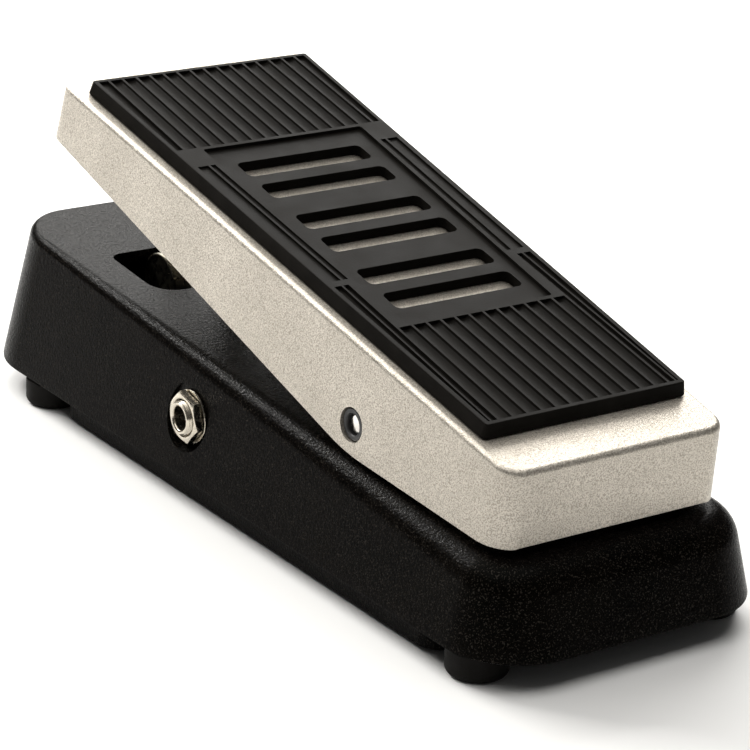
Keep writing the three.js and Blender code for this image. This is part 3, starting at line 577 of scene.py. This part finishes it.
def base_block():
    """The outer form, from the small round at the lower rim to the rounded top edge."""
    points = base_outline(18)
    rings = [base_ring(points, inset, height=height) for inset, height in ((0.7, 0), (0.2, 0.25), (0, 0.8))]
    rings += [base_ring(points, 0, height=height) for height in (4, 10)]
    steps = 8
    rings += [edge_ring(points, math.pi / 2 * i / steps) for i in range(steps + 1)]
    return lofted("base_shell", rings)


def foot_boss(inner, x, y):
    """A post for a foot screw, kept inside the outer wall."""
    inset = BASE["wall"] * 0.6
    low, high = BASE["bottom"] + FOOT_BOSS["rise"], base_top(y) - BASE["wall"] + SINK
    boss = rod("boss", "z", FOOT_BOSS["radius"], low, high, x, y, 32)
    room = lofted("room", [base_ring(inner, inset, height=0), base_ring(inner, inset, drop=1)])
    return merged(boss, [room], "INTERSECT")


def board_post(side):
    top = base_top(POST["y"]) - BASE["wall"] + SINK
    return rod("post", "z", POST["radius"], POST["bottom"], top, side * POST["x"], POST["y"], 24)


def pivot_ear(side):
    """The low arch on the base's top that holds one end of the cross pin."""
    ground, crown = base_top(PIVOT.y), PIVOT.z + 6.5
    arch = [
        (-14, ground - 2.5, 0),
        (14, ground - 2.5, 0),
        (13, ground + 0.4, 0),
        (8.6, ground + 2, 4),
        (6.5, crown, 6.4),
        (-6.5, crown, 6.4),
        (-8.6, ground + 2, 4),
        (-13, ground - 0.6, 0),
    ]
    corners = [(PIVOT.y + along, up, radius) for along, up, radius in arch]
    return prism("ear", "x", rounded_polygon(corners), *sorted((side * 20, side * 28.2)))


def top_holes():
    """The opening over the rack, and holes for the pin, its set screw, the switch and the foot screws."""
    near, far, half = OPENING["heel"], OPENING["toe"], OPENING["half"]
    corners = [(-half, near, OPENING["heel_corner"]), (half, near, OPENING["heel_corner"])]
    corners += [(half, far, OPENING["toe_corner"]), (-half, far, OPENING["toe_corner"])]
    below = 30
    holes = [
        prism("opening", "z", rounded_polygon(corners), below, OUTSIDE),
        rod("pin_hole", "x", PIN_HOLE, -THROUGH, THROUGH, PIVOT.y, PIVOT.z, 32),
        rod("set_hole", "y", 2.3, PIVOT.y, PIVOT.y + 20, PIVOT.z, 24, 24),
        rod("switch_hole", "z", SWITCH["hole"], below, OUTSIDE, 0, SWITCH["y"], 40),
        rod("switch_seat", "z", SWITCH["seat"], SWITCH["seat_height"], OUTSIDE, 0, SWITCH["y"], 48),
        rod("switch_under", "z", SWITCH["room"], below, SWITCH["room_top"], 0, SWITCH["y"], 48),
    ]
    for x, y in FEET.values():
        holes.append(rod("foot_hole", "z", FOOT_BOSS["bore"], 0, FOOT_BOSS["bore_top"], x, y, 20))
    return holes


def side_holes():
    """A spot-faced seat and a hole for each jack and for the power inlet."""
    holes = []
    for side, socket in ((-1, JACK), (1, JACK), (1, INLET)):
        y, z, outside = socket["y"], socket["z"], side * OUTSIDE
        holes.append(rod("seat", "x", socket["seat"], *sorted((side * socket["face"], outside)), y, z, 64))
        holes.append(rod("hole", "x", socket["hole"], *sorted((side * 30, outside)), y, z, 40))
    return holes


def base_shell():
    shell, inner, wall = base_block(), base_outline(10), BASE["wall"]
    cut(shell, [lofted("cavity", [base_ring(inner, wall, height=-2), base_ring(inner, wall, drop=wall)])])
    extras = [foot_boss(inner, x, y) for x, y in FEET.values()]
    for side in (-1, 1):
        extras += [board_post(side), pivot_ear(side)]
    joined(shell, extras)
    cut(shell, top_holes())
    cut(shell, side_holes())
    return smooth(bevelled(cleaned(shell), 0.7, 3, angle=40), 32)


placed(base_shell(), "base", M["coat"], "base_paint", "base_casting")


# ---------------------------------------------------------------- treadle
def treadle_outline(toe_radius, heel_radius, segments):
    t = TREADLE
    return outline(t["toe"], t["heel"], t["toe_half"], t["heel_half"], toe_radius, heel_radius, segments)


def treadle_ring(points, inset, w):
    """Every side leans out downwards, the heel end more than the others."""
    drop = TREADLE["top"] - w
    out_x = TREADLE["draft"] * drop - inset
    ring = []
    for x, y, nx, ny in points:
        out_y = (TREADLE["heel_draft"] if ny < 0 else TREADLE["draft"]) * drop - inset
        ring.append((x + out_x * nx, y + out_y * ny, w))
    return ring


def skirt_profile():
    """The treadle from its side: the lower edge falls from toe to pivot and rises again to the heel."""
    toe = TREADLE["toe"] + TREADLE["draft"] * 16.2  # both ends a little outside the foot of the wall
    heel = TREADLE["heel"] - TREADLE["heel_draft"] * 20.6
    corners = [
        (TREADLE["heel"] - 10, 40, 0),
        (TREADLE["heel"] - 10, 12, 0),
        (heel, 9, 2),
        (heel, TREADLE["heel_skirt"], 0.9),
        (0, TREADLE["pivot_skirt"], 60),
        (toe, TREADLE["toe_skirt"], 3),
        (toe, 12, 2),
        (TREADLE["toe"] + 8, 15, 0),
        (TREADLE["toe"] + 8, 40, 0),
    ]
    return rounded_polygon(corners, 10)


def treadle_details():
    """Bosses round the pivot bushes, the two ears that hold the rack's pin, and two cross ribs."""
    ceiling = TREADLE["top"] - TREADLE["wall"] + 0.5
    details = []
    for side in (-1, 1):
        details.append(rod("boss", "x", BUSH_BOSS, *sorted((side * 28.9, side * 33.2)), 0, 0, 48))
    near, far, low = RACK_PIN["u"] - 4, RACK_PIN["u"] + 4, RACK_PIN["w"] - 3.5
    ear = rounded_polygon([(near, low, 3.6), (far, low, 3.6), (far, ceiling, 0), (near, ceiling, 0)])
    details += [prism("ear", "x", ear, x, x + RACK_PIN["ear_width"]) for x in RACK_PIN["ears"]]
    details.append(slab("rib", (-32.4, 32.4), (-50, -47), (2.5, ceiling)))
    details.append(slab("rib", (-34.5, 34.5), (58, 60.5), (ceiling - 4.5, ceiling)))
    return details


def treadle_shell():
    top, wall, edge = TREADLE["top"], TREADLE["wall"], TREADLE["edge"]
    points = treadle_outline(TREADLE["toe_radius"], TREADLE["heel_radius"], 14)
    rings = [treadle_ring(points, 0, -12)]
    steps = 6
    for i in range(steps + 1):
        t = math.pi / 2 * i / steps
        rings.append(treadle_ring(points, edge * (1 - math.cos(t)), top - edge * (1 - math.sin(t))))
    shell = lofted("treadle_shell", rings)
    merged(shell, [prism("skirt", "x", skirt_profile(), -60, 60)], "INTERSECT")
    inner = treadle_outline(5, 9, 8)
    cut(shell, [lofted("cavity", [treadle_ring(inner, wall, -13), treadle_ring(inner, wall, top - wall)])])
    joined(shell, treadle_details())
    bush_bore = rod("bush_bore", "x", BUSH_BORE, -45, 45, 0, 0, 48)
    pin_bore = rod("pin_bore", "x", RACK_PIN["hole"], -15, 15, RACK_PIN["u"], RACK_PIN["w"], 24)
    cut(shell, [bush_bore, pin_bore])
    shell.data.transform(TO_TREADLE)
    return smooth(bevelled(cleaned(shell), 0.45, 2, angle=40), 32)


placed(treadle_shell(), "treadle", M["nickel_cast"], "treadle_metal", "treadle_casting")


# ---------------------------------------------------------------- tread pad
def half_at(plate, u):
    """Half the width of a tapered plate at a place along the treadle."""
    share = (u - plate["heel"]) / (plate["toe"] - plate["heel"])
    return plate["heel_half"] + (plate["toe_half"] - plate["heel_half"]) * share


def border(u):
    """The line at the side of the pad where its raised border begins."""
    return half_at(PAD, u) - PAD_DRAFT * PAD_HEIGHT - BORDER


def pad_block():
    rim = outline(PAD["toe"], PAD["heel"], PAD["toe_half"], PAD["heel_half"], 1.6, 1.6, 4)
    rings = [flat_ring(rim, 0.15, PAD["bottom"]), flat_ring(rim, 0, PAD["bottom"] + 0.2)]
    edge, steps = 0.35, 3
    for i in range(steps + 1):
        t = math.pi / 2 * i / steps
        inset = PAD_DRAFT * PAD_HEIGHT + edge * (1 - math.cos(t)) - 0.1
        rings.append(flat_ring(rim, inset, PAD["top"] - edge * (1 - math.sin(t))))
    return lofted("tread_pad_rubber", rings)


def flute(low, high, left, right):
    """A shallow trough between two ribs, its floor a little hollow."""
    middle, half = (left + right) / 2, (right - left) / 2
    section = [(-half, 1), (-half, 0.0), (-half + 0.14, -0.62), (-half + 0.42, -0.82)]
    section.append((-half * 0.4, -FLUTE_DEPTH))
    section += [(-a, b) for a, b in reversed(section)]
    return prism("flute", "y", [(PAD["top"] + b, middle + a) for a, b in section], low, high)


def flutes(fields):
    made = []
    for low, high, count in fields:
        for k in range(-count, count):
            left, right = k * RIB["pitch"] + HALF_RIB, (k + 1) * RIB["pitch"] - HALF_RIB
            made.append(flute(low, high, left, right))
    return made


def tapered(low, high, inner, outer, depth):
    """A pocket in the pad's top between two lines that lean with the taper. Each line gives x for a u."""
    corners = [(inner(low), low), (outer(low), low), (outer(high), high), (inner(high), high)]
    return prism("side", "z", corners, PAD["top"] - depth, PAD["top"] + 1)


def side_pockets(toe_field, heel_field):
    """Narrow pockets beside the flutes and the panel, the same on both sides."""
    toe_low, toe_high, toe_count = toe_field
    heel_low, _, heel_count = heel_field
    toe_line = toe_count * RIB["pitch"] + HALF_RIB
    heel_line = heel_count * RIB["pitch"] + HALF_RIB
    heel_end = 24.5
    middle = (27, 90.5)
    lines = (
        (toe_low, toe_high, lambda u: toe_line, border, 0.9),
        (heel_low, heel_end, lambda u: heel_line + 2.2, lambda u: border(u) - 0.1, 0.9),
        (heel_low, heel_end, lambda u: heel_line, lambda u: heel_line + 1.6, 0.9),
        (*middle, lambda u: half_at(PANEL, u) + 3.6, lambda u: border(u) - 0.4, 0.6),
        (*middle, lambda u: half_at(PANEL, u) + 1.4, lambda u: half_at(PANEL, u) + 2.9, 0.6),
    )
    pockets = []
    for side in (-1, 1):
        for low, high, inner, outer, depth in lines:
            if side > 0:
                pockets.append(tapered(low, high, inner, outer, depth))
            else:
                pockets.append(tapered(low, high, lambda u: -outer(u), lambda u: -inner(u), depth))
    return pockets


def panel_and_slots():
    """The sunk panel, and the bars through it that show the metal below."""
    rim = outline(PANEL["toe"], PANEL["heel"], PANEL["toe_half"], PANEL["heel_half"], 0.8, 0.8, 3)
    floor, above = PAD["top"] - PANEL["depth"], PAD["top"] + 1
    tools = [lofted("panel", [flat_ring(rim, 0, floor), flat_ring(rim, 0, above)])]
    a, b, r = SLOT["half_length"], SLOT["half_width"], SLOT["corner"]
    for middle in SLOT["groups"]:
        for i in (-1, 1):
            u = middle + i * SLOT["step"]
            corners = [(-a, u - b, r), (a, u - b, r), (a, u + b, r), (-a, u + b, r)]
            tools.append(prism("slot", "z", rounded_polygon(corners, 7), PAD["bottom"] - 1, above))
    return tools


def tread_pad():
    pad = pad_block()
    margin = PAD_DRAFT * PAD_HEIGHT + BORDER
    toe_field = (PANEL["toe"] + 1.3, PAD["toe"] - margin, RIB["toe_count"])
    heel_field = (PAD["heel"] + margin, PANEL["heel"] - 1.3, RIB["heel_count"])
    cut(pad, flutes((toe_field, heel_field)))
    cut(pad, side_pockets(toe_field, heel_field))
    cut(pad, panel_and_slots())
    pad.data.transform(TO_TREADLE)
    return smooth(bevelled(cleaned(pad), 0.16, 2, angle=40), 32)


placed(tread_pad(), "treadle", M["tread"], "pad_rubber", "tread_pad")


# ---------------------------------------------------------------- feet
def foot(name, x, y):
    """A drum with a rounded lower edge, a recess for the head of its screw and a hole for the shank."""
    profile = [(2.1, 7.2), (7.9, 7.2), (8, 7.0), (8, 2.2)]
    steps = 6
    for i in range(1, steps + 1):
        t = math.pi / 2 * i / steps
        profile.append((6 + 2 * math.cos(t), 2 - 2 * math.sin(t)))
    profile += [(4.2, 0), (3.6, 0.5), (3.6, 3.4), (2.1, 3.4)]
    return smooth(turned(name, "z", profile, x, y, 56), 40)


for where, (x, y) in FEET.items():
    placed(foot(f"rubber_foot_{where}", x, y), "base", M["rubber"], "black_rubber", f"foot_{where}")


# ---------------------------------------------------------------- jack and switch fittings
def ring_profile(inner, outer, low, high, chamfer):
    c = chamfer
    return [
        (inner, low + c),
        (inner + c, low),
        (outer - c, low),
        (outer, low + c),
        (outer, high - c),
        (outer - c, high),
        (inner + c, high),
        (inner, high - c),
    ]


def hex_nut(name, axis, flats, inner, low, high, a, b, turn, front=1):
    """A hexagon nut with its corners turned off on the front face and a small lead-in round the hole."""
    radius = flats / math.sqrt(3)
    points = []
    for i in range(6):
        t = math.radians(60 * i) + turn
        points.append((a + radius * math.cos(t), b + radius * math.sin(t)))
    nut = prism(name, axis, points, low, high)
    face, back = (high, low) if front > 0 else (low, high)
    depth = (high - low) * front
    rim = radius + 0.3
    crown = [(0, back - 0.2 * front), (rim, back - 0.2 * front), (rim, face - 0.62 * front)]
    crown += [(flats / 2 - 0.15, face), (0, face)]
    merged(nut, [turned("crown", axis, crown, a, b, 64)], "INTERSECT")
    bore = [(0, back - depth), (inner, back - depth), (inner, face - 0.4 * front)]
    bore += [(inner + 0.4, face), (inner + 0.4, face + front), (0, face + front)]
    cut(nut, [turned("bore", axis, bore, a, b, 48)])
    return smooth(bevelled(cleaned(nut), 0.12, 2, angle=25), 30)


def washer(name, axis, inner, outer, low, high, a, b):
    return smooth(turned(name, axis, ring_profile(inner, outer, low, high, 0.12), a, b, 64), 30)


def jack_bush(name, side):
    """The jack's bush, with a rounded mouth and fine rings for its thread."""
    profile = [(3.3, 20), (3.3, 46.7)]
    steps = 5
    for i in range(1, steps + 1):
        t = math.pi / 2 * i / steps
        profile.append((4.0 - 0.7 * math.cos(t), 46.7 + 0.85 * math.sin(t)))
    profile += [(4.25, 47.5), (4.5, 47.2)]
    pitch, along, thread_end = 0.48, 47.1, 39.6
    while along > thread_end:
        profile += [(4.7, along - 0.1), (4.5, along - 0.34)]
        along -= pitch
    profile += [(4.5, 39.3), (4.5, 20)]
    return smooth(turned(name, "x", [(r, side * d) for r, d in profile], JACK["y"], JACK["z"], 56), 30)


def jack_housing(name, side):
    """The moulded block behind the bush, with three solder tongues at its back."""
    a, b = JACK["y"], JACK["z"]
    block = slab(name, sorted((side * 17, side * 39.2)), (a - 9, a + 9), (b - 8, b + 8))
    bevelled(block, 0.8, 3)
    tongues = [
        slab("tongue", sorted((side * 12.5, side * 17.5)), (a + d - 1.2, a + d + 1.2), (b - 0.4, b + 0.4))
        for d in (-5, 0, 5)
    ]
    joined(block, tongues)
    cut(block, [rod("socket", "x", 4.75, *sorted((side * 19.5, side * 60)), a, b, 40)])
    return smooth(cleaned(block), 30)


def pot_can():
    """The potentiometer: a drum with a rolled rim round its back, a neck and the wafer for its tags."""
    profile = [
        (0, -17.25),
        (7.5, -17.25),
        (7.75, -17.5),
        (8.15, -17.5),
        (8.4, -17.35),
        (8.5, -17.0),
        (8.5, -9.5),
        (8.35, -9.15),
        (8.0, -9.0),
        (3.5, -9.0),
        (3.5, -2.9),
        (3.2, -2.6),
        (2.8, -2.6),
        (2.8, -10.0),
        (0, -10.0),
    ]
    can = turned("pot_can", "x", profile, POT["y"], POT["z"], 64)
    wafer = slab("wafer", (-12.5, -9.3), (POT["y"] - 6, POT["y"] + 6), (POT["z"] - 13, POT["z"] - 4))
    joined(can, [bevelled(wafer, 0.3, 2)])
    return smooth(cleaned(can), 30)


def jack_fittings(word, side):
    a, b = JACK["y"], JACK["z"]
    housing = jack_housing(f"{word}_jack_housing", side)
    placed(housing, "base", M["black_plastic"], "jack_body", f"{word}_jack")
    low, high = sorted(side * along for along in JACK["washer"])
    ring = washer(f"{word}_jack_ring", "x", 5.0, 7.4, low, high, a, b)
    placed(ring, "base", M["jack_plate"], "bright_nickel", f"{word}_jack_washer")
    low, high = sorted(side * along for along in JACK["nut"])
    nut = hex_nut(f"{word}_jack_hex_nut", "x", JACK["flats"], 5.0, low, high, a, b, math.radians(12), side)
    placed(nut, "base", M["jack_plate"], "bright_nickel", f"{word}_jack_nut")
    placed(jack_bush(f"{word}_jack_bush", side), "base", M["jack_plate"], "bright_nickel")


def switch_fittings():
    y = SWITCH["y"]
    nut = hex_nut("switch_hex_nut", "z", SWITCH["flats"], 6.2, 46.3, 48.7, 0, y, math.radians(20))
    placed(nut, "base", M["bright"], "bright_nickel", "switch_nut")
    ring = washer("switch_plain_washer", "z", 6.2, 7.2, 45.3, 46.0, 0, y)
    placed(ring, "base", M["steel"], "steel", "switch_washer")


def plunger():
    """A domed bright button on its rod."""
    profile = [(0, 47.2), (4.1, 47.2), (4.1, 55.3), (4.2, 55.4), (4.8, 55.4), (5, 55.6), (5, 57.7)]
    steps = 7
    for i in range(1, steps + 1):
        t = math.pi / 2 * i / steps
        profile.append((3.5 + 1.5 * math.cos(t), 57.7 + 1.3 * math.sin(t)))
    profile += [(1.5, 59.15), (0, 59.2)]
    return smooth(turned("switch_button", "z", profile, 0, SWITCH["y"], 56), 35)


placed(pot_can(), "base", M["pot_can"], "steel", "pot_body")
jack_fittings("output", -1)
jack_fittings("input", 1)
switch_fittings()
placed(plunger(), "plunger", M["bright"], "bright_nickel", "switch_plunger")


# ---------------------------------------------------------------- pivot
def pivot_bush(word, side):
    low, high = sorted((side * 29.2, side * 36.6))
    profile = ring_profile(2.8, 4.3, low, high, 0.25)
    return smooth(turned(f"pivot_bush_ring_{word}", "x", profile, 0, 0, 48, TO_TREADLE), 30)


def pivot_pin():
    end = [(0, 35.7), (1.9, 35.7), (2.4, 35.5), (2.5, 35.1)]
    profile = [(radius, -along) for radius, along in end] + end[::-1]
    return smooth(turned("pivot_pin_rod", "x", profile, PIVOT.y, PIVOT.z, 40), 30)


for word, side in (("left", -1), ("right", 1)):
    placed(pivot_bush(word, side), "treadle", M["black_plastic"], "black_plastic", f"pivot_bush_{word}")
placed(pivot_pin(), "base", M["bright"], "steel", "pivot_pin")


# ---------------------------------------------------------------- CAD parts that keep their shape
CARRIED = {
    "coat": ["bottom_cover"],
    "rubber": ["heel_bumper_left", "heel_bumper_right", "toe_bumper"],
    "black_plastic": [
        "rack_guide",
        "switch_body",
        "power_inlet",
        "power_inlet_nut",
        "battery_snap",
        "transistor_input",
        "transistor_output",
    ],
    "steel": [
        "foot_screw_heel_left",
        "foot_screw_heel_right",
        "foot_screw_toe_left",
        "foot_screw_toe_right",
        "rack_pin",
        "rack_pin_clip",
        "pivot_set_screw",
        "pinion_set_screw",
        "pot_shaft",
        "pot_bracket",
        "pot_washer",
        "bracket_screw_1",
        "bracket_screw_2",
        "guide_screw",
        "switch_lock_washer",
        "board_screw_left",
        "board_screw_right",
    ],
    "bright": ["pot_nut"],
    "nylon": ["rack"],
    "brass": ["pinion"],
    "laminate": ["circuit_board"],
    "red": ["inductor", "capacitor_small"],
    "blue": ["capacitor_large"],
    "battery": ["battery"],
    "foam": ["battery_foam"],
    "leads": ["battery_leads", "pot_leads", "switch_leads"],
}
for key, names in CARRIED.items():
    for name in names:
        mesh = NODES[name].data
        mesh.materials.clear()
        mesh.materials.append(M[key])


# ---------------------------------------------------------------- floor, light and camera
def pale_floor():
    half = 4.0
    mesh = bpy.data.meshes.new("floor")
    corners = [(-half, -half, 0), (half, -half, 0), (half, half, 0), (-half, half, 0)]
    mesh.from_pydata(corners, [], [(0, 1, 2, 3)])
    plane = bpy.data.objects.new("floor", mesh)
    bpy.context.scene.collection.objects.link(plane)
    paper = bpy.data.materials.new("pale_paper")
    paper.use_nodes = True
    shader = paper.node_tree.nodes["Principled BSDF"]
    shader.inputs["Base Color"].default_value = rgb(0.9, 0.9, 0.895)
    shader.inputs["Roughness"].default_value = 0.9
    shader.inputs["Specular IOR Level"].default_value = 0.2
    mesh.materials.append(paper)


def room_light():
    """Faint light from all round, and colours shown as they are."""
    world = bpy.data.worlds.new("studio")
    world.use_nodes = True
    background = world.node_tree.nodes["Background"]
    background.inputs["Color"].default_value = rgb(1.0, 0.99, 0.97)
    background.inputs["Strength"].default_value = 0.08
    scene = bpy.context.scene
    scene.world = world
    scene.view_settings.view_transform = "Standard"
    scene.view_settings.look = "None"


def panel(name, place, target, size, brightness):
    """A soft, slightly warm panel. Brightness is what the camera would read off it, 1 being white."""
    light = bpy.data.lights.new(name, "AREA")
    light.shape = "RECTANGLE"
    light.size, light.size_y = size
    light.energy = brightness * math.pi * size[0] * size[1]
    light.color = (1, 0.985, 0.955)
    lamp = bpy.data.objects.new(name, light)
    lamp.location = place
    aim = Vector(target) - Vector(place)
    lamp.rotation_euler = aim.to_track_quat("-Z", "Y").to_euler()
    bpy.context.scene.collection.objects.link(lamp)


def camera(place, azimuth, elevation, roll):
    """Looks along +Y turned by the azimuth, down by the elevation, and leans by the roll, all in degrees."""
    lens = bpy.data.cameras.new("camera")
    lens.sensor_width = 36
    lens.lens = 145.969
    lens.clip_start = 0.05
    lens.clip_end = 20
    body = bpy.data.objects.new("camera", lens)
    turn = Matrix.Rotation(math.radians(azimuth), 4, "Z")
    tilt = Matrix.Rotation(math.radians(90 - elevation), 4, "X")
    lean = Matrix.Rotation(math.radians(roll), 4, "Z")
    body.matrix_world = Matrix.Translation(place) @ turn @ tilt @ lean
    bpy.context.scene.collection.objects.link(body)
    bpy.context.scene.camera = body


pale_floor()
room_light()
panel("overhead", (-0.12, 0.2, 1.2), (-0.12, 0.2, 0), (1.6, 1.6), 1.95)
panel("back", (1.0, 1.4, 1.15), (0, 0, 0.03), (1.6, 1.3), 6.3)
panel("edge_strip", (-0.4, 1.6, 1.3), (0, 0, 0.05), (1.0, 0.1), 125.0)
camera((-0.443795, -0.626772, 0.333716), -35.6972, 21.4122, 3.1881)
